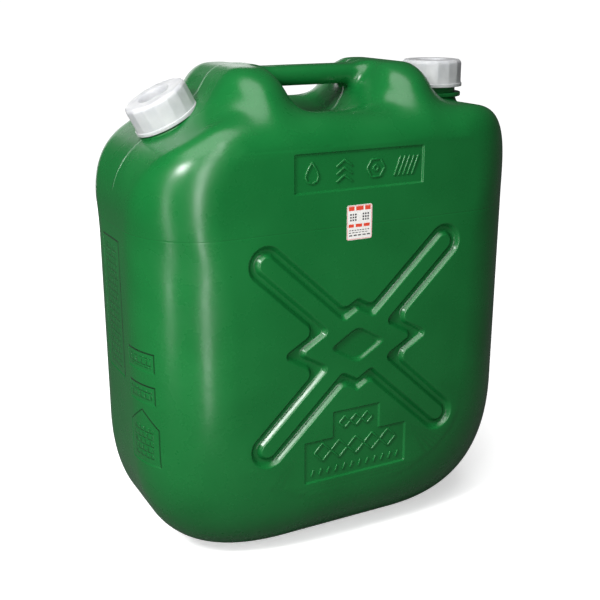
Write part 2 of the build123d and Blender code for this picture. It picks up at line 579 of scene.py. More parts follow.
@dataclass
class Moulding:
    """The can's one-piece hollow moulding: tank, humps and handle bar."""

    width: float = 347.0
    depth: float = 186.0
    shoulder: float = 375.0
    crest: float = 410.0
    slant: float = 28.0
    slant_run: float = 67.5
    base_corner: float = 92.0
    shoulder_corner: float = 50.0
    slant_corner: float = 61.0
    knee_round: float = 60.0
    side_edge: float = 67.0
    top_edge: float = 26.0
    edge_change: float = 60.0
    hump_x: float = 67.3
    hump_half_foot: float = 36.0
    hump_slope: float = 57.0
    hump_crest_round: float = 24.0
    hump_end: float = 84.0
    hump_end_round: float = 56.0
    hump_fillet: float = 16.0
    hump_root: float = 32.0
    hump_point: float = 4.0
    valley_half: float = 31.5
    valley_slope: float = 60.0
    valley_lip: float = 7.0
    valley_round: float = 8.0
    dish_radius: float = 130.0
    dish_depth: float = 8.5
    bar_height: float = 16.0
    bar_depth: float = 30.0
    bar_drop: float = 3.0
    bar_reach: float = 56.0
    bar_fillet: float = 12.0
    neck_radius: float = 21.6
    neck_fillet: float = 7.0
    neck_edge: float = 1.0
    main_neck: float = 51.1
    main_stem: float = 2.0
    air_neck: float = 45.8
    air_stem: float = 6.0
    crest_round: float = 2.0
    voxel: float = 3.0
    probe: float = 0.2
    least_slope: float = 0.05
    longest_move: float = 6.0
    window: tuple[float, float, float, float] = (-103.0, 103.0, 62.0, 352.5)
    cross: Cross = field(default_factory=Cross)
    notice: Panel = field(
        default_factory=lambda: Panel(
            "notice_panel", [(-58.8, 317.7), (58.8, 317.7), (58.8, 348.8), (-58.8, 348.8)], 1.7
        )
    )
    plate: Panel = field(
        default_factory=lambda: Panel(
            "capacity_panel",
            [(-49.6, 71.9), (49.6, 71.9), (49.6, 109.9), (22.9, 109.9)]
            + [(22.9, 132.8), (-22.9, 132.8), (-22.9, 109.9), (-49.6, 109.9)],
            1.5,
        )
    )

    def main_seat(self) -> Matrix:
        """Give the pouring neck's frame: its foot on the slanted shoulder, its axis along Z.

        Returns:
            The frame, in millimetres.
        """
        x = self.main_neck - self.width / 2
        drop = (self.slant_run - self.main_neck) * math.tan(math.radians(self.slant))
        turn = Matrix.Rotation(-math.radians(self.slant), 4, "Y")
        return Matrix.Translation((x, 0, self.shoulder - drop)) @ turn

    def air_seat(self) -> Matrix:
        """Give the air neck's frame: its foot on the level shoulder, its axis along Z.

        Returns:
            The frame, in millimetres.
        """
        return Matrix.Translation((self.width / 2 - self.air_neck, 0, self.shoulder))

    def tank_field(self, x: np.ndarray, y: np.ndarray, z: np.ndarray) -> np.ndarray:
        """Measure how far points lie outside the tank.

        Args:
            x: Places along X.
            y: Places along Y.
            z: Heights.

        Returns:
            The field, negative inside.
        """
        lean = math.radians(self.slant)
        knee_x = self.slant_run - self.width / 2
        level = z - self.shoulder
        slanted = (level - (x - knee_x) * math.tan(lean)) * math.cos(lean)
        roof = smooth_max(level, slanted, blend_band(self.knee_round, self.slant))
        left = -x - self.width / 2
        right = x - self.width / 2
        profile = smooth_max(roof, left, blend_band(self.slant_corner, 90 - self.slant))
        profile = smooth_max(profile, right, blend_band(self.shoulder_corner, 90))
        profile = smooth_max(profile, -z, blend_band(self.base_corner, 90))
        wall = np.maximum(np.maximum(left, right), -z)
        share = ease((roof - wall) / (2 * self.edge_change) + 0.5)
        edge = self.side_edge + (self.top_edge - self.side_edge) * share
        return rounded_both(profile, np.abs(y) - self.depth / 2, edge)

    def hump_field(self, x: np.ndarray, y: np.ndarray, z: np.ndarray, middle: float) -> np.ndarray:
        """Measure how far points lie outside one hump.

        Args:
            x: Places along X.
            y: Places along Y.
            z: Heights.
            middle: The hump's middle along X.

        Returns:
            The field, negative inside.
        """
        slope = math.radians(self.hump_slope)
        out = np.sqrt((x - middle) ** 2 + self.hump_point**2) - self.hump_point
        flank = (out - self.hump_half_foot) * math.sin(slope) + (z - self.shoulder) * math.cos(slope)
        profile = smooth_max(z - self.crest, flank, blend_band(self.hump_crest_round, self.hump_slope))
        form = rounded_both(profile, np.abs(y) - self.hump_end, self.hump_end_round)
        return np.maximum(form, self.shoulder - self.hump_root - z)

    def field(self, points: np.ndarray) -> np.ndarray:
        """Measure how far points lie outside the whole moulding.

        Args:
            points: One row for each point, in millimetres.

        Returns:
            The field, negative inside.
        """
        x, y, z = points.T
        form = self.tank_field(x, y, z)
        for middle in (-self.hump_x, self.hump_x):
            form = smooth_min(form, self.hump_field(x, y, z, middle), self.hump_fillet)
        lean = math.tan(math.radians(self.valley_slope))
        walls = np.abs(x) - self.valley_half - (z - self.shoulder) / lean
        axis_z = self.shoulder - self.dish_depth + self.dish_radius
        dish = np.hypot(y, z - axis_z) - self.dish_radius
        form = smooth_max(form, -smooth_max(dish, walls, self.valley_round), self.valley_lip)
        bar_z = self.crest - self.bar_drop - self.bar_height / 2
        half_flat = (self.bar_depth - self.bar_height) / 2
        bar = np.hypot(np.maximum(np.abs(y) - half_flat, 0), z - bar_z) - self.bar_height / 2
        bar = np.maximum(bar, np.abs(x) - self.bar_reach)
        form = smooth_min(form, bar, self.bar_fillet)
        for seat, reach in ((self.main_seat(), self.main_stem), (self.air_seat(), self.air_stem)):
            local = (points - np.array(seat.translation)) @ np.array(seat.to_3x3())
            stem = np.hypot(local[:, 0], local[:, 1]) - self.neck_radius
            stem = smooth_max(stem, np.abs(local[:, 2]) - reach, self.neck_edge)
            form = smooth_min(form, stem, self.neck_fillet)
        form = smooth_max(form, z - self.crest, self.crest_round)
        return np.maximum(form, np.abs(y) - self.depth / 2)

    def settle(self, obj: bpy.types.Object, rounds: int) -> None:
        """Move a mesh's points on to the moulding's surface.

        Args:
            obj: The mesh.
            rounds: Steps taken.
        """
        points = coordinates(obj)
        for _ in range(rounds):
            value = self.field(points)
            slope = np.empty_like(points)
            for axis in range(3):
                shift = np.zeros(3)
                shift[axis] = self.probe
                rise = self.field(points + shift) - self.field(points - shift)
                slope[:, axis] = rise / (2 * self.probe)
            steep = np.maximum((slope**2).sum(axis=1), self.least_slope)
            move = slope * (value / steep)[:, None]
            length = np.linalg.norm(move, axis=1, keepdims=True)
            points = points - move * np.minimum(1.0, self.longest_move / np.maximum(length, 1e-9))
        move_points(obj, points)

    def rough_form(self) -> bpy.types.Object:
        """Build the rough form from primitives and remesh it evenly.

        Returns:
            The rough form.
        """
        bpy.ops.mesh.primitive_cube_add(size=1)
        tank = named("tank")
        bpy.ops.object.mode_set(mode="EDIT")
        bpy.ops.mesh.select_all(action="SELECT")
        bpy.ops.transform.resize(value=(self.width, self.depth, self.shoulder))
        bpy.ops.transform.translate(value=(0, 0, self.shoulder / 2))
        lean = math.radians(self.slant)
        bpy.ops.mesh.bisect(
            plane_co=(self.slant_run - self.width / 2, 0, self.shoulder),
            plane_no=(-math.sin(lean), 0, math.cos(lean)),
            use_fill=True,
            clear_outer=True,
        )
        bpy.ops.object.mode_set(mode="OBJECT")
        modified(tank, "BEVEL", width=self.top_edge, segments=5, limit_method="ANGLE")
        parts = [tank]
        for middle in (-self.hump_x, self.hump_x):
            bpy.ops.mesh.primitive_uv_sphere_add(segments=48, ring_count=24, radius=1)
            bpy.ops.object.mode_set(mode="EDIT")
            bpy.ops.transform.resize(value=(self.hump_half_foot, self.hump_end, self.crest - self.shoulder))
            bpy.ops.transform.translate(value=(middle, 0, self.shoulder))
            bpy.ops.object.mode_set(mode="OBJECT")
            parts.append(named("hump"))
        bpy.ops.mesh.primitive_cube_add(size=1)
        bpy.ops.object.mode_set(mode="EDIT")
        bpy.ops.transform.resize(value=(2 * self.hump_x, self.bar_depth, self.bar_height))
        bpy.ops.transform.translate(value=(0, 0, self.crest - self.bar_drop - self.bar_height / 2))
        bpy.ops.object.mode_set(mode="OBJECT")
        parts.append(named("bar"))
        form = joined(parts, "rough_form")
        modified(form, "REMESH", mode="VOXEL", voxel_size=self.voxel)
        return form

    def open_window(self, obj: bpy.types.Object) -> Loop:
        """Cut the flat window for the reliefs out of the front.

        Args:
            obj: The body.

        Returns:
            The window's edge, as one closed loop.
        """
        x0, x1, z0, z1 = self.window
        front = -self.depth / 2
        mesh = bmesh.new()
        mesh.from_mesh(obj.data)
        flat = []
        for face in mesh.faces:
            centre = face.calc_center_median()
            inside = x0 < centre.x < x1 and z0 < centre.z < z1
            if inside and centre.y < front + 0.5:
                flat.append(face)
        bmesh.ops.delete(mesh, geom=flat, context="FACES")
        ahead = {}
        for edge in mesh.edges:
            if edge.is_boundary:
                loop = edge.link_loops[0]
                ahead[loop.vert.index] = loop.link_loop_next.vert
        start = next(iter(ahead))
        ring: Loop = []
        here = start
        while True:
            vertex = ahead[here]
            ring.append((vertex.co.x, vertex.co.z))
            vertex.co.y = front
            here = vertex.index
            if here == start:
                break
        mesh.to_mesh(obj.data)
        mesh.free()
        log.info("window edge has %d points of %d", len(ring), len(ahead))
        return ring

    def build(self) -> bpy.types.Object:
        """Build the moulding with its reliefs.

        Returns:
            The finished piece.
        """
        body = self.rough_form()
        self.settle(body, 4)
        for _ in range(3):
            modified(body, "SMOOTH", factor=0.5, iterations=6)
            self.settle(body, 3)
        window = self.open_window(body)
        front = -self.depth / 2
        trough, heart = self.cross.trough(), self.cross.heart()
        notice, plate = self.notice.relief(), self.plate.relief()
        parts = [body]
        parts += [relief.strips(front) for relief in (trough, heart, notice, plate)]
        parts.append(flat_fill("front", [window, trough.rings[0], notice.rings[0], plate.rings[0]], front))
        parts.append(flat_fill("island", [trough.rings[-1], heart.rings[0]], front))
        for relief in (heart, notice, plate):
            parts.append(flat_fill(relief.name + "_floor", [relief.rings[-1]], front + relief.depths[-1]))
        return finished(joined(parts, "can_moulding"), Matrix.Identity(4), 60)


@dataclass
class Marks:
    """Raised generic marks on the floors of the front's panels: bars only, no lettering."""

    front: float = -93.0
    rise: float = 1.1
    stroke: float = 1.9
    bury: float = 0.4
    lap: float = 0.4
    bevel: float = 0.7
    notice_floor: float = 1.7
    plate_floor: float = 1.5

    def bar(self, start: Point, end: Point, floor: float) -> bpy.types.Object:
        """Build one raised bar with rounded edges.

        Args:
            start: Its first end, in X and Z.
            end: Its other end, in X and Z.
            floor: Depth of the floor it stands on.

        Returns:
            The bar.
        """
        low, high = Vector(start), Vector(end)
        middle = (low + high) / 2
        run = high - low
        bpy.ops.mesh.primitive_cube_add(size=1)
        bar = named("bar")
        bpy.ops.object.mode_set(mode="EDIT")
        size = (run.length + self.lap * self.stroke, self.rise + self.bury, self.stroke)
        bpy.ops.transform.resize(value=size)
        bpy.ops.object.mode_set(mode="OBJECT")
        modified(bar, "BEVEL", width=self.bevel, segments=3, limit_method="ANGLE")
        turn = Matrix.Rotation(-math.atan2(run.y, run.x), 4, "Y")
        height = self.front + floor + self.bury - (self.rise + self.bury) / 2
        bar.data.transform(Matrix.Translation((middle.x, height, middle.y)) @ turn)
        return bar

    def path(self, middle: Point, points: Sequence[Point], shut: bool = True) -> Bars:
        """Join points by bars.

        Args:
            middle: The place the points are measured from, in X and Z.
            points: The points in order.
            shut: Whether the last point joins the first.

        Returns:
            The bars' ends.
        """
        spots = [(x + middle[0], z + middle[1]) for x, z in points]
        return list(zip(spots, spots[1:] + (spots[:1] if shut else [])))

    def diamonds(self, middle: Point, count: int, half: float) -> Bars:
        """Lay out a row of diamonds joined tip to tip.

        Args:
            middle: The row's middle, in X and Z.
            count: How many diamonds.
            half: Half the width and height of each.

        Returns:
            The bars' ends.
        """
        bars = []
        for i in range(count):
            place = (middle[0] + half * (2 * i - count + 1), middle[1])
            bars += self.path(place, [(half, 0), (0, half), (-half, 0), (0, -half)])
        return bars

    def hatch(self, middle: Point, count: int, step: float, half: float) -> Bars:
        """Lay out a row of slanted strokes.

        Args:
            middle: The row's middle, in X and Z.
            count: How many strokes.
            step: Their spacing.
            half: Half their height.

        Returns:
            The bars' ends.
        """
        starts = [middle[0] + step * (i - (count - 1) / 2) for i in range(count)]
        lean = 0.4 * half
        return [((x - lean, middle[1] - half), (x + lean, middle[1] + half)) for x in starts]

    def signs(self) -> Bars:
        """Lay out the notice panel: a drop, chevrons, a nut with a diamond in it, and a hatch.

        Returns:
            The bars' ends.
        """
        level = 333.2
        half_drop = [(0, 8.5), (4.3, 1.5), (5.7, -2.5), (4.1, -6.4), (0, -8.0)]
        drop = half_drop + [(-x, z) for x, z in half_drop[3:0:-1]]
        bars = self.path((-43.0, level), drop)
        for rise in (-6.0, 0.0, 6.0):
            bars += self.path((-14.5, level + rise), [(-7, -2.5), (0, 2.5), (7, -2.5)], False)
        nut = [(8 * math.cos(math.tau * i / 6), 8 * math.sin(math.tau * i / 6)) for i in range(6)]
        bars += self.path((14.0, level), nut) + self.diamonds((14.0, level), 1, 2.6)
        return bars + self.hatch((42.5, level), 5, 4.2, 7.5)

    def ratings(self) -> Bars:
        """Lay out the capacity panel: two rows of joined diamonds, and a hatch below.

        Returns:
            The bars' ends.
        """
        bars = self.diamonds((0.0, 121.3), 3, 5.4) + self.diamonds((0.0, 98.0), 5, 8.0)
        return bars + self.hatch((0.0, 80.5), 12, 7.6, 2.6)

    def build(self) -> bpy.types.Object:
        """Build every bar.

        Returns:
            The finished piece.
        """
        bars = [self.bar(a, b, self.notice_floor) for a, b in self.signs()]
        bars += [self.bar(a, b, self.plate_floor) for a, b in self.ratings()]
        return finished(joined(bars, "front_marks"), Matrix.Identity(4))


# ---------------------------------------------------------------- necks, caps and gaskets


@dataclass
class Thread:
    """A helical ridge with sloping sides."""

    pitch: float = 4.0
    height: float = 1.8
    turns: float = 2.2
    root: float = 2.1
    crest: float = 0.8
    embed: float = 0.4
    start: float = 5.0
    steps: int = 110

    def build(self, radius: float, outward: int, start: float) -> bpy.types.Object:
        """Build the ridge round a wall.

        Args:
            radius: The wall's radius.
            outward: 1 to stand outwards, -1 to stand inwards.
            start: Height of its lower end.

        Returns:
            The ridge.
        """
        near, far = radius - self.embed * outward, radius + self.height * outward
        section = [(near, -self.root / 2), (far, -self.crest / 2)]
        section += [(far, self.crest / 2), (near, self.root / 2)]
        points = []
        for i in range(self.steps + 1):
            turn = math.tau * self.turns * i / self.steps
            climb = start + self.pitch * self.turns * i / self.steps
            points += [(r * math.cos(turn), r * math.sin(turn), z + climb) for r, z in section]
        faces = [(0, 1, 2, 3), tuple(4 * self.steps + k for k in (3, 2, 1, 0))]
        for i in range(self.steps):
            for k in range(4):
                low, high = 4 * i + k, 4 * i + (k + 1) % 4
                faces.append((low, low + 4, high + 4, high))
        return mesh_object("thread", points, [], faces)


@dataclass
class Neck:
    """A threaded neck with its collar, seen between a cap and the can."""

    name: str
    standoff: float
    collar_top: float
    bore: float = 18.4
    radius: float = 21.2
    root: float = 14.0
    lip: float = 19.0
    collar_radius: float = 26.2
    collar_height: float = 3.6
    collar_sink: float = 0.5
    wall_round: float = 0.8
    collar_round: float = 0.9
    steps: int = 96
    thread: Thread = field(default_factory=Thread)

    def build(self, seat: Matrix) -> bpy.types.Object:
        """Build the neck.

        Args:
            seat: The neck's frame, in millimetres.

        Returns:
            The finished piece.
        """
        top = self.standoff + self.lip
        wall = [(self.bore, -self.root), (self.radius, -self.root), (self.radius, top), (self.bore, top)]
        barrel = lathed("barrel", softened(wall, self.wall_round, 3), self.steps)
        low, high = self.collar_top - self.collar_height, self.collar_top
        near, far = self.radius - self.collar_sink, self.collar_radius
        ring = softened([(near, low), (far, low), (far, high), (near, high)], self.collar_round, 3)
        collar = lathed("collar", ring, self.steps)
        ridge = self.thread.build(self.radius, 1, self.standoff + self.thread.start)
        return finished(joined([barrel, collar, ridge], self.name), seat)


@dataclass
class Cap:
    """A moulded screw cap with a faceted skirt, a rim and a round recess in its top."""

    height: float = 23.0
    radius: float = 26.4
    facets: int = 16
    rim_radius: float = 27.1
    rim_height: float = 2.6
    top_wall: float = 2.0
    edge: float = 3.4
    skirt_foot: float = 3.0
    lip: float = 1.2
    recess_round: float = 0.6
    arris: float = 0.0008
    recess_radius: float = 12.9
    recess_depth: float = 6.5
    bore: float = 23.45
    thread: Thread = field(default_factory=Thread)

    def shell(self) -> bpy.types.Object:
        """Build the cap's shell from a turned outline whose skirt is then faceted.

        Returns:
            The shell, with its foot at z = 0.
        """
        plug = self.recess_radius + self.top_wall
        ceiling = self.height - self.top_wall
        floor = self.height - self.recess_depth
        outer = [(self.bore, 0.0), (self.rim_radius, 0.0), (self.rim_radius, self.rim_height)]
        outer += [(self.radius, self.rim_height + 0.5)]
        skirt = self.height - self.edge - self.skirt_foot
        outer += [(self.radius, self.skirt_foot + skirt * i / 5) for i in range(1, 6)]
        for i in range(1, 7):
            turn = math.radians(90) * i / 6
            across, up = self.edge * (1 - math.cos(turn)), self.edge * (1 - math.sin(turn))
            outer.append((self.radius - across, self.height - up))
        inner = [(self.recess_radius + self.lip, self.height)]
        inner += [(self.recess_radius + 0.35, self.height - 0.35)]
        inner += [(self.recess_radius, self.height - self.lip)]
        inner += [(self.recess_radius, floor + self.recess_round)]
        inner += [(self.recess_radius - self.recess_round, floor), (0.02, floor)]
        inner += [(0.02, floor - self.top_wall), (plug, floor - self.top_wall), (plug, ceiling)]
        inner += [(self.bore, ceiling)]
        shell = lathed("shell", outer + inner, self.facets * 12)
        points = coordinates(shell)
        around = np.arctan2(points[:, 1], points[:, 0])
        out = np.hypot(points[:, 0], points[:, 1])
        step = math.tau / self.facets
        off = np.abs((around + step / 2) % step - step / 2)
        flat = math.cos(step / 2) / np.cos(step / 2 - off)
        flat = 1 - np.sqrt((1 - flat) ** 2 + self.arris**2) + self.arris
        share = ease((points[:, 2] - self.rim_height - 0.2) / 1.5) * ease((out - self.radius + 6) / 4)
        scale = 1 - (1 - flat) * share
        points[:, 0] *= scale
        points[:, 1] *= scale
        move_points(shell, points)
        return shell

    def build(self, name: str, seat: Matrix) -> bpy.types.Object:
        """Build the cap.

        Args:
            name: The piece's name.
            seat: The frame at the foot of its skirt, in millimetres.

        Returns:
            The finished piece.
        """
        ridge = self.thread.build(self.bore, -1, self.thread.start - self.thread.pitch / 2)
        return finished(joined([self.shell(), ridge], name), seat, 35)


# ---------------------------------------------------------------- finishes


class Graph:
    """A small writer of shader nodes: every method adds a node and gives its output."""

    def __init__(self, name: str) -> None:
        """Start an empty material with a principled shader.

        Args:
            name: The material's name.
        """
        self.material = bpy.data.materials.new(name)
        self.material.use_nodes = True
        self.tree = self.material.node_tree
        self.shader = self.tree.nodes["Principled BSDF"]
        where = self.tree.nodes.new("ShaderNodeTexCoord")
        self.place = where.outputs["Object"]
        split = self.tree.nodes.new("ShaderNodeSeparateXYZ")
        self.tree.links.new(self.place, split.inputs[0])
        self.x, self.y, self.z = (split.outputs[i] for i in range(3))

    def put(self, socket: bpy.types.NodeSocket, value: object) -> None:
        """Set a socket, or link something to it.

        Args:
            socket: The input.
            value: A number, a tuple, or another node's output.
        """
        if isinstance(value, bpy.types.NodeSocket):
            self.tree.links.new(value, socket)
        else:
            socket.default_value = value

    def math(self, operation: str, *values: object) -> bpy.types.NodeSocket:
        """Add a math node.

        Args:
            operation: Its operation.
            values: Its inputs.

        Returns:
            The result.
        """
        node = self.tree.nodes.new("ShaderNodeMath")
        node.operation = operation
        for socket, value in zip(node.inputs, values):
            self.put(socket, value)
        return node.outputs[0]

    def remap(
        self, value: object, low: float, high: float, to_low: float, to_high: float
    ) -> bpy.types.NodeSocket:
        """Map a range smoothly on to another.

        Args:
            value: The input.
            low: Start of the input's range.
            high: End of the input's range.
            to_low: Result at the start.
            to_high: Result at the end.

        Returns:
            The mapped value.
        """
        node = self.tree.nodes.new("ShaderNodeMapRange")
        node.interpolation_type = "SMOOTHSTEP"
        for key, number in zip(range(5), (value, low, high, to_low, to_high)):
            self.put(node.inputs[key], number)
        return node.outputs[0]

    def noise(self, scale: float, detail: float = 3.0, roughness: float = 0.5) -> bpy.types.NodeSocket:
        """Add a noise texture over the piece's own place.

        Args:
            scale: Features in each metre.
            detail: Octaves.
            roughness: Share of the finer octaves.

        Returns:
            The noise, from 0 to 1.
        """
        node = self.tree.nodes.new("ShaderNodeTexNoise")
        self.put(node.inputs["Vector"], self.place)
        node.inputs["Scale"].default_value = scale
        node.inputs["Detail"].default_value = detail
        node.inputs["Roughness"].default_value = roughness
        return node.outputs["Fac"]

    def mix(self, share: object, first: object, second: object) -> bpy.types.NodeSocket:
        """Mix two colours.

        Args:
            share: Share of the second.
            first: First colour.
            second: Second colour.

        Returns:
            The mixed colour.
        """
        node = self.tree.nodes.new("ShaderNodeMix")
        node.data_type = "RGBA"
        self.put(node.inputs[0], share)
        self.put(node.inputs[6], first)
        self.put(node.inputs[7], second)
        return node.outputs[2]

    def bump(self, height: object) -> None:
        """Send a height in metres to the shader's normal.

        Args:
            height: The height.
        """
        node = self.tree.nodes.new("ShaderNodeBump")
        node.inputs["Strength"].default_value = 1.0
        node.inputs["Distance"].default_value = 1.0
        self.put(node.inputs["Height"], height)
        self.put(self.shader.inputs["Normal"], node.outputs[0])

    def total(self, values: Sequence[object]) -> object:
        """Add several values.

        Args:
            values: The values.

        Returns:
            Their sum.
        """
        result = values[0]
        for value in values[1:]:
            result = self.math("ADD", result, value)
        return result

    def box(
        self, across: object, up: object, middle: Point, half: Point, soft: float
    ) -> bpy.types.NodeSocket:
        """Mask a box in two coordinates.

        Args:
            across: First coordinate.
            up: Second coordinate.
            middle: The box's middle.
            half: Its half sizes.
            soft: Width of its edge.

        Returns:
            1 inside, 0 outside.
        """
        off = []
        for axis, value in enumerate((across, up)):
            far = self.math("ABSOLUTE", self.math("SUBTRACT", value, middle[axis]))
            off.append(self.math("SUBTRACT", far, half[axis]))
        return self.remap(self.math("MAXIMUM", *off), -soft, soft, 1.0, 0.0)


@dataclass(frozen=True)
class CanPlastic:
    """Green blow-moulded polyethylene: satin, a little wavy, with its mould's lines, a painted highlight
    along the parting seam, and side panels.
    """

    deep: Colour = (0.004, 0.118, 0.023, 1)
    clear: Colour = (0.006, 0.137, 0.028, 1)
    # Lighter green for wear near the base and crest, also used as the painted highlight along the parting
    # seam.
    scuff_and_seam_highlight: Colour = (0.10, 0.30, 0.14, 1)
    panel_depth: float = 0.0018
    panel_edge: float = 0.0008
    plates: tuple[tuple[Point, Point], ...] = (
        ((0.0061, 0.2207), (0.0194, 0.0569)),
        ((-0.0440, 0.1885), (0.0172, 0.0078)),
        ((-0.0440, 0.1610), (0.0168, 0.0075)),
        ((-0.0447, 0.1235), (0.0187, 0.0235)),
    )
    roof: float = 0.147
    roof_slope: float = 0.75
    cells: tuple[tuple[Point, Point], ...] = (
        ((0.0061, 0.2207), (0.0130, 0.0510)),
        ((-0.0440, 0.1885), (0.0138, 0.0040)),
        ((-0.0440, 0.1610), (0.0135, 0.0040)),
        ((-0.0447, 0.1190), (0.0120, 0.0130)),
    )
    cell_edge: float = 0.0004
    cell_height: float = 0.0010

    def side_panels(self, g: Graph) -> bpy.types.NodeSocket:
        """Give the relief of the panels round the left rear and front edges.

        Args:
            g: The graph.

        Returns:
            The height, in metres.
        """
        axis_x, axis_y, radius = -0.1065, -0.026, 0.067
        turn = g.math("ARCTAN2", g.math("SUBTRACT", axis_y, g.y), g.math("SUBTRACT", axis_x, g.x))
        round_part = g.math("MULTIPLY", g.math("MAXIMUM", turn, 0.0), radius)
        across = g.math("SUBTRACT", g.math("MAXIMUM", g.y, axis_y), round_part)
        left = g.remap(g.x, -0.100, -0.104, 0.0, 1.0)
        plates = [g.box(across, g.z, middle, half, self.panel_edge) for middle, half in self.plates]
        off = g.math("ABSOLUTE", g.math("SUBTRACT", across, self.plates[-1][0][0]))
        roof = g.math("ADD", g.math("SUBTRACT", g.z, self.roof), g.math("MULTIPLY", off, self.roof_slope))
        gable = g.remap(roof, -self.panel_edge, self.panel_edge, 1.0, 0.0)
        plates[-1] = g.math("MULTIPLY", plates[-1], gable)
        cells = g.tree.nodes.new("ShaderNodeTexBrick")
        spot = g.tree.nodes.new("ShaderNodeCombineXYZ")
        g.put(spot.inputs[0], across)
        g.put(spot.inputs[1], g.z)
        g.put(cells.inputs["Vector"], spot.outputs[0])
        sizes = {"Scale": 1.0, "Mortar Size": 0.0011, "Mortar Smooth": 0.6}
        sizes |= {"Brick Width": 0.0062, "Row Height": 0.0058}
        for key, value in sizes.items():
            cells.inputs[key].default_value = value
        inner = [g.box(across, g.z, middle, half, self.cell_edge) for middle, half in self.cells]
        marks = g.math("MULTIPLY", g.total(inner), g.math("SUBTRACT", 1.0, cells.outputs["Fac"]))
        sunk = g.math("MULTIPLY", g.total(plates), self.panel_depth)
        height = g.math("SUBTRACT", g.math("MULTIPLY", marks, self.cell_height), sunk)
        return g.math("MULTIPLY", height, left)

    def build(self) -> bpy.types.Material:
        """Build the material.

        Returns:
            The material.
        """
        g = Graph("can_plastic")
        tone = g.remap(g.noise(14.0, 2.0), 0.3, 0.7, 0.0, 1.0)
        base = g.mix(tone, self.deep, self.clear)
        rub = g.remap(g.noise(220.0, 5.0, 0.65), 0.62, 0.74, 0.0, 1.0)
        low = g.remap(g.z, 0.055, 0.004, 0.0, 0.55)
        crest = g.remap(g.z, 0.392, 0.410, 0.0, 0.25)
        worn = g.math("MULTIPLY", rub, g.math("MAXIMUM", low, crest))
        above, below = g.remap(g.z, 0.315, 0.320, 0.0, 1.0), g.remap(g.z, 0.06, 0.05, 0.0, 1.0)
        outside = g.math("MAXIMUM", above, below)
        beside = g.math("ABSOLUTE", g.y)
        # Painted highlight: a lighter line within about 1 mm of the parting seam, above the notice panel
        # and low on the body, stands in for light catching the seam ridge.
        painted_seam_highlight = g.math("MULTIPLY", g.remap(beside, 0.0003, 0.0011, 0.55, 0.0), outside)
        g.put(g.shader.inputs["Base Color"], g.mix(g.math("MAXIMUM", worn, painted_seam_highlight), base, self.scuff_and_seam_highlight))
        gloss = g.remap(g.noise(38.0, 4.0, 0.6), 0.3, 0.7, 0.24, 0.31)
        g.put(g.shader.inputs["Roughness"], g.math("ADD", gloss, g.math("MULTIPLY", worn, 0.25)))
        g.shader.inputs["IOR"].default_value = 1.5
        g.shader.inputs["Specular IOR Level"].default_value = 0.5
        waves = g.math("MULTIPLY", g.noise(17.0, 1.0), 0.00045)
        ripple = g.math("MULTIPLY", g.noise(95.0, 2.0), 0.00005)
        skin = g.math("MULTIPLY", g.noise(900.0, 2.0), 0.000012)
        seam = g.math("MULTIPLY", g.remap(beside, 0.0002, 0.0013, 0.0010, 0.0), outside)
        line = g.remap(g.math("ABSOLUTE", g.math("SUBTRACT", g.z, 0.2890)), 0.0, 0.0009, -0.00012, 0.0)
        g.bump(g.total([waves, ripple, skin, seam, line, self.side_panels(g)]))
        return g.material


@dataclass(frozen=True)
class CapPlastic:
    """Milky, slightly see-through polyethylene."""

    milk: Colour = (0.57, 0.575, 0.585, 1)
    shade: Colour = (0.49, 0.50, 0.515, 1)

    def build(self) -> bpy.types.Material:
        """Build the material.

        Returns:
            The material.
        """
        g = Graph("cap_plastic")
        tone = g.remap(g.noise(60.0, 3.0), 0.3, 0.7, 0.0, 1.0)
        dust = g.remap(g.noise(500.0, 4.0, 0.7), 0.64, 0.78, 0.0, 0.35)
        colour = g.mix(tone, self.milk, self.shade)
        g.put(g.shader.inputs["Base Color"], g.mix(dust, colour, (0.55, 0.57, 0.56, 1)))
        g.put(g.shader.inputs["Roughness"], g.remap(g.noise(120.0, 3.0), 0.3, 0.7, 0.28, 0.40))
        g.shader.inputs["Subsurface Weight"].default_value = 0.55
        g.shader.inputs["Subsurface Radius"].default_value = (1.0, 1.0, 1.1)
        g.shader.inputs["Subsurface Scale"].default_value = 0.006
        g.shader.inputs["IOR"].default_value = 1.5
        waves = g.math("MULTIPLY", g.noise(160.0, 2.0), 0.00012)
        skin = g.math("MULTIPLY", g.noise(1400.0, 2.0), 0.000010)
        g.bump(g.math("ADD", waves, skin))
        return g.material


@dataclass(frozen=True)
class Rubber:
    """Black rubber of the gaskets."""

    dark: Colour = (0.018, 0.018, 0.019, 1)
    grey: Colour = (0.05, 0.05, 0.05, 1)

    def build(self) -> bpy.types.Material:
        """Build the material.

        Returns:
            The material.
        """
        g = Graph("gasket_rubber")
        g.put(g.shader.inputs["Base Color"], g.mix(g.noise(300.0, 4.0), self.dark, self.grey))
        g.put(g.shader.inputs["Roughness"], g.remap(g.noise(700.0, 3.0), 0.3, 0.7, 0.6, 0.8))
        g.bump(g.math("MULTIPLY", g.noise(2500.0, 3.0), 0.00004))
        return g.material


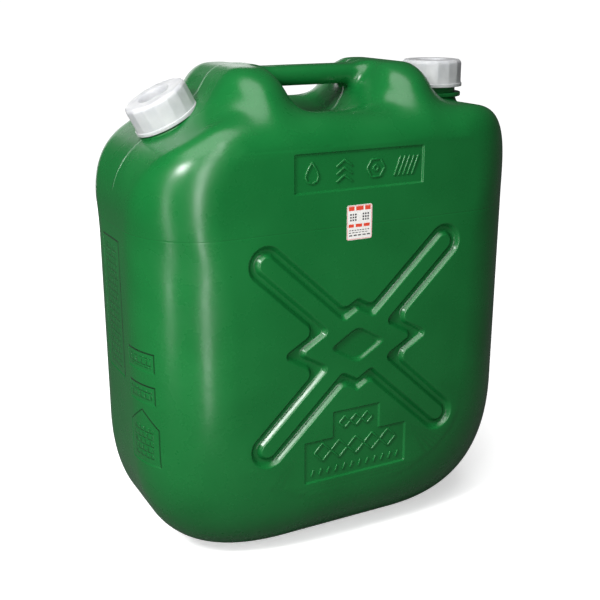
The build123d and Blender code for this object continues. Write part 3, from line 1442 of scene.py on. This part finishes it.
@dataclass(frozen=True)
class PrintedLabel:
    """A white printed film with generic coloured fields, no lettering."""

    paper: Colour = (0.86, 0.85, 0.83, 1)
    red: Colour = (0.72, 0.07, 0.035, 1)
    ink: Colour = (0.03, 0.03, 0.035, 1)
    middle_x: float = -0.001
    middle_z: float = 0.2915

    def fields(self, g: Graph, boxes: Sequence[tuple[float, float, float, float]]) -> object:
        """Mask several boxes.

        Args:
            g: The graph.
            boxes: Middle and half sizes of each, in millimetres from the label's middle.

        Returns:
            1 in any box.
        """
        masks = []
        for x, z, half_x, half_z in boxes:
            middle = (self.middle_x + x * METRES, self.middle_z + z * METRES)
            masks.append(g.box(g.x, g.z, middle, (half_x * METRES, half_z * METRES), 0.0001))
        return g.math("MINIMUM", g.total(masks), 1.0)

    def build(self) -> bpy.types.Material:
        """Build the material.

        Returns:
            The material.
        """
        g = Graph("label_film")
        paper = g.mix(g.noise(400.0, 4.0), self.paper, (0.80, 0.78, 0.74, 1))
        red = [(-7.4, 11.2, 2.6, 1.7), (0.0, 11.2, 3.4, 1.7), (7.4, 11.2, 2.6, 1.7)]
        red += [(-7.6, -2.6, 2.4, 1.3), (-0.6, -2.6, 3.0, 1.3), (6.6, -2.6, 2.8, 1.3)]
        red += [(0, side * 13.4, 10.9, 0.18) for side in (1, -1)]
        red += [(side * 11.0, 0, 0.18, 13.4) for side in (-1, 1)]
        dots = [(2.2 * i, 2.0 + 2.2 * j) for i in range(3) for j in range(3)]
        ink = [(left + x, z, 0.7, 0.7) for left in (-8.0, 3.4) for x, z in dots]
        ink += [(-8.6 + 2.4 * i, -6.3, 0.8, 0.35) for i in range(8)]
        ink += [(-8.6 + 3.0 * i, -8.2, 1.1, 0.30) for i in range(6)]
        ink += [(-8.0 + 4.1 * i, -10.4, 1.5, 0.5) for i in range(5)]
        colour = g.mix(self.fields(g, red), paper, self.red)
        colour = g.mix(self.fields(g, ink), colour, self.ink)
        g.put(g.shader.inputs["Base Color"], colour)
        g.put(g.shader.inputs["Roughness"], g.remap(g.noise(200.0, 3.0), 0.3, 0.7, 0.30, 0.42))
        g.bump(g.math("MULTIPLY", g.noise(120.0, 3.0), 0.00008))
        return g.material


def dress(obj: bpy.types.Object, material: bpy.types.Material) -> None:
    """Give an object one material in every slot.

    Args:
        obj: The object.
        material: The material.
    """
    if not obj.data.materials:
        obj.data.materials.append(material)
    for i in range(len(obj.data.materials)):
        obj.data.materials[i] = material


# ---------------------------------------------------------------- studio


@dataclass
class Studio:
    """A plain pale floor, soft lights and the camera."""

    camera_at: tuple[float, float, float] = (-0.39693, -0.74503, 0.46575)
    azimuth: float = -27.74
    elevation: float = 17.42
    roll: float = 0.03
    lens: float = 59.17
    floor_size: float = 200.0
    cloth_z: float = -0.002

    def grey(self, value: float) -> Colour:
        """Give a neutral colour.

        Args:
            value: Its brightness.

        Returns:
            The colour.
        """
        return (value, value, value, 1)

    def floor(self) -> None:
        """Lay the floor and its backdrop as one plain pale plane."""
        bpy.ops.mesh.primitive_plane_add(size=self.floor_size)
        floor = named("floor")
        g = Graph("floor_paper")
        shade = g.mix(g.noise(2.0, 2.0), self.grey(0.90), self.grey(0.92))
        g.put(g.shader.inputs["Base Color"], shade)
        g.shader.inputs["Roughness"].default_value = 0.9
        g.shader.inputs["Specular IOR Level"].default_value = 0.1
        g.shader.inputs["Emission Color"].default_value = (1, 1, 1, 1)
        g.shader.inputs["Emission Strength"].default_value = 0.5
        dress(floor, g.material)
        floor.visible_diffuse = False
        floor.visible_glossy = False
        floor.visible_shadow = False

    def lamp(
        self, name: str, spot: Sequence[float], aim: Sequence[float], size: Point, power: float
    ) -> None:
        """Hang one soft rectangular lamp.

        Args:
            name: Its name.
            spot: Its place.
            aim: The point it faces.
            size: Its width and height.
            power: Its power in watts.
        """
        bpy.ops.object.light_add(type="AREA", location=spot)
        lamp = bpy.context.active_object
        lamp.name = name
        lamp.data.shape = "RECTANGLE"
        lamp.data.size, lamp.data.size_y = size
        lamp.data.energy = power
        lamp.visible_camera = False
        lamp.rotation_euler = (Vector(aim) - Vector(spot)).to_track_quat("-Z", "Y").to_euler()

    def lights(self) -> None:
        """Hang the lamps and set the even light of the room."""
        world = bpy.data.worlds.new("room")
        bpy.context.scene.world = world
        world.use_nodes = True
        world.node_tree.nodes["Background"].inputs["Color"].default_value = (1, 1, 1, 1)
        world.node_tree.nodes["Background"].inputs["Strength"].default_value = 0.06
        bpy.ops.object.light_add(type="SUN", rotation=(math.radians(8), math.radians(-14), 0))
        sky = bpy.context.active_object
        sky.data.energy = 1.95
        sky.data.angle = math.radians(50)
        self.lamp("high_left", (-0.87, -0.47, 0.90), (-0.14, -0.06, 0.34), (0.20, 0.20), 9.5)
        self.lamp("tall_front", (-0.34, -0.66, 0.60), (-0.10, -0.09, 0.30), (0.13, 1.00), 3.1)
        self.lamp("near_strip", (-0.26, -0.41, 0.26), (-0.11, -0.09, 0.26), (0.04, 0.50), 0.6)
        self.lamp("back_fill", (0.20, 1.40, 0.45), (0.0, 0.09, 0.20), (0.80, 0.80), 3.0)
        self.lamp("strip_left", (-0.50, -0.19, 0.29), (-0.15, -0.07, 0.25), (0.05, 0.44), 0.42)

    def flag(self) -> None:
        """Lay a dark cloth under the floor: it, and not the bright floor, is what the can reflects."""
        bpy.ops.mesh.primitive_plane_add(size=self.floor_size, location=(0, 0, self.cloth_z))
        cloth = named("bounce_flag")
        g = Graph("flag_cloth")
        shade = g.mix(g.noise(3.0, 1.0), self.grey(0.11), self.grey(0.13))
        g.put(g.shader.inputs["Base Color"], shade)
        g.shader.inputs["Roughness"].default_value = 0.9
        g.shader.inputs["Specular IOR Level"].default_value = 0.1
        dress(cloth, g.material)

    def camera(self) -> None:
        """Place the camera."""
        bpy.ops.object.camera_add(location=self.camera_at)
        camera = bpy.context.active_object
        camera.data.lens = self.lens
        camera.data.sensor_width = 36.0
        turn = Matrix.Rotation(math.radians(self.azimuth), 4, "Z")
        tilt = Matrix.Rotation(math.radians(90 - self.elevation), 4, "X")
        spin = Matrix.Rotation(math.radians(self.roll), 4, "Z")
        camera.matrix_world = Matrix.Translation(self.camera_at) @ turn @ tilt @ spin
        bpy.context.scene.camera = camera

    def build(self) -> None:
        """Build the whole studio."""
        self.floor()
        self.flag()
        self.lights()
        self.camera()
        bpy.context.scene.view_settings.view_transform = "Standard"


@dataclass
class FuelCan:
    """The whole can: each piece is built, dressed and tied to its CAD body."""

    moulding: Moulding = field(default_factory=Moulding)
    marks: Marks = field(default_factory=Marks)
    cap: Cap = field(default_factory=Cap)
    main_neck: Neck = field(default_factory=lambda: Neck("main_neck_finish", 2.9, 1.6))
    air_neck: Neck = field(default_factory=lambda: Neck("air_neck_finish", 9.8, 4.7))

    def tie(
        self,
        piece: bpy.types.Object,
        body: Body,
        nodes: Sequence[str],
        material: bpy.types.Material,
    ) -> None:
        """Tie a piece to its body and material, and hide the CAD nodes it stands for.

        Args:
            piece: The piece.
            body: The CAD body it rides on.
            nodes: The CAD nodes it stands for.
            material: Its material.
        """
        dress(piece, material)
        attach(piece, body.value)
        if nodes:
            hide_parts(*nodes)
        log.info("%s: %d faces", piece.name, len(piece.data.polygons))

    def build(self) -> None:
        """Build every piece in order."""
        plastic, milky = CanPlastic().build(), CapPlastic().build()
        self.tie(self.moulding.build(), Body.CAN, ["can_body", "handle_bar"], plastic)
        self.tie(self.marks.build(), Body.CAN, [], plastic)
        main, air = self.moulding.main_seat(), self.moulding.air_seat()
        self.tie(self.main_neck.build(main), Body.CAN, ["main_neck"], plastic)
        self.tie(self.air_neck.build(air), Body.CAN, ["air_neck"], plastic)
        main_foot = main @ Matrix.Translation((0, 0, self.main_neck.standoff))
        air_foot = air @ Matrix.Translation((0, 0, self.air_neck.standoff))
        self.tie(self.cap.build("main_cap_shell", main_foot), Body.MAIN_CAP, ["main_cap"], milky)
        self.tie(self.cap.build("air_cap_shell", air_foot), Body.AIR_CAP, ["air_cap"], milky)
        rubber, printed = Rubber().build(), PrintedLabel().build()
        for node in ("main_cap_gasket", "air_cap_gasket"):
            dress(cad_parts[node], rubber)
        dress(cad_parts["inspection_label"], printed)


def main() -> None:
    """Build the can and the studio."""
    logging.basicConfig(level=logging.INFO, format="%(name)s: %(message)s")
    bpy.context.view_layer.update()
    FuelCan().build()
    Studio().build()
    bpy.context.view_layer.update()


if __name__ == "__main__":
    main()
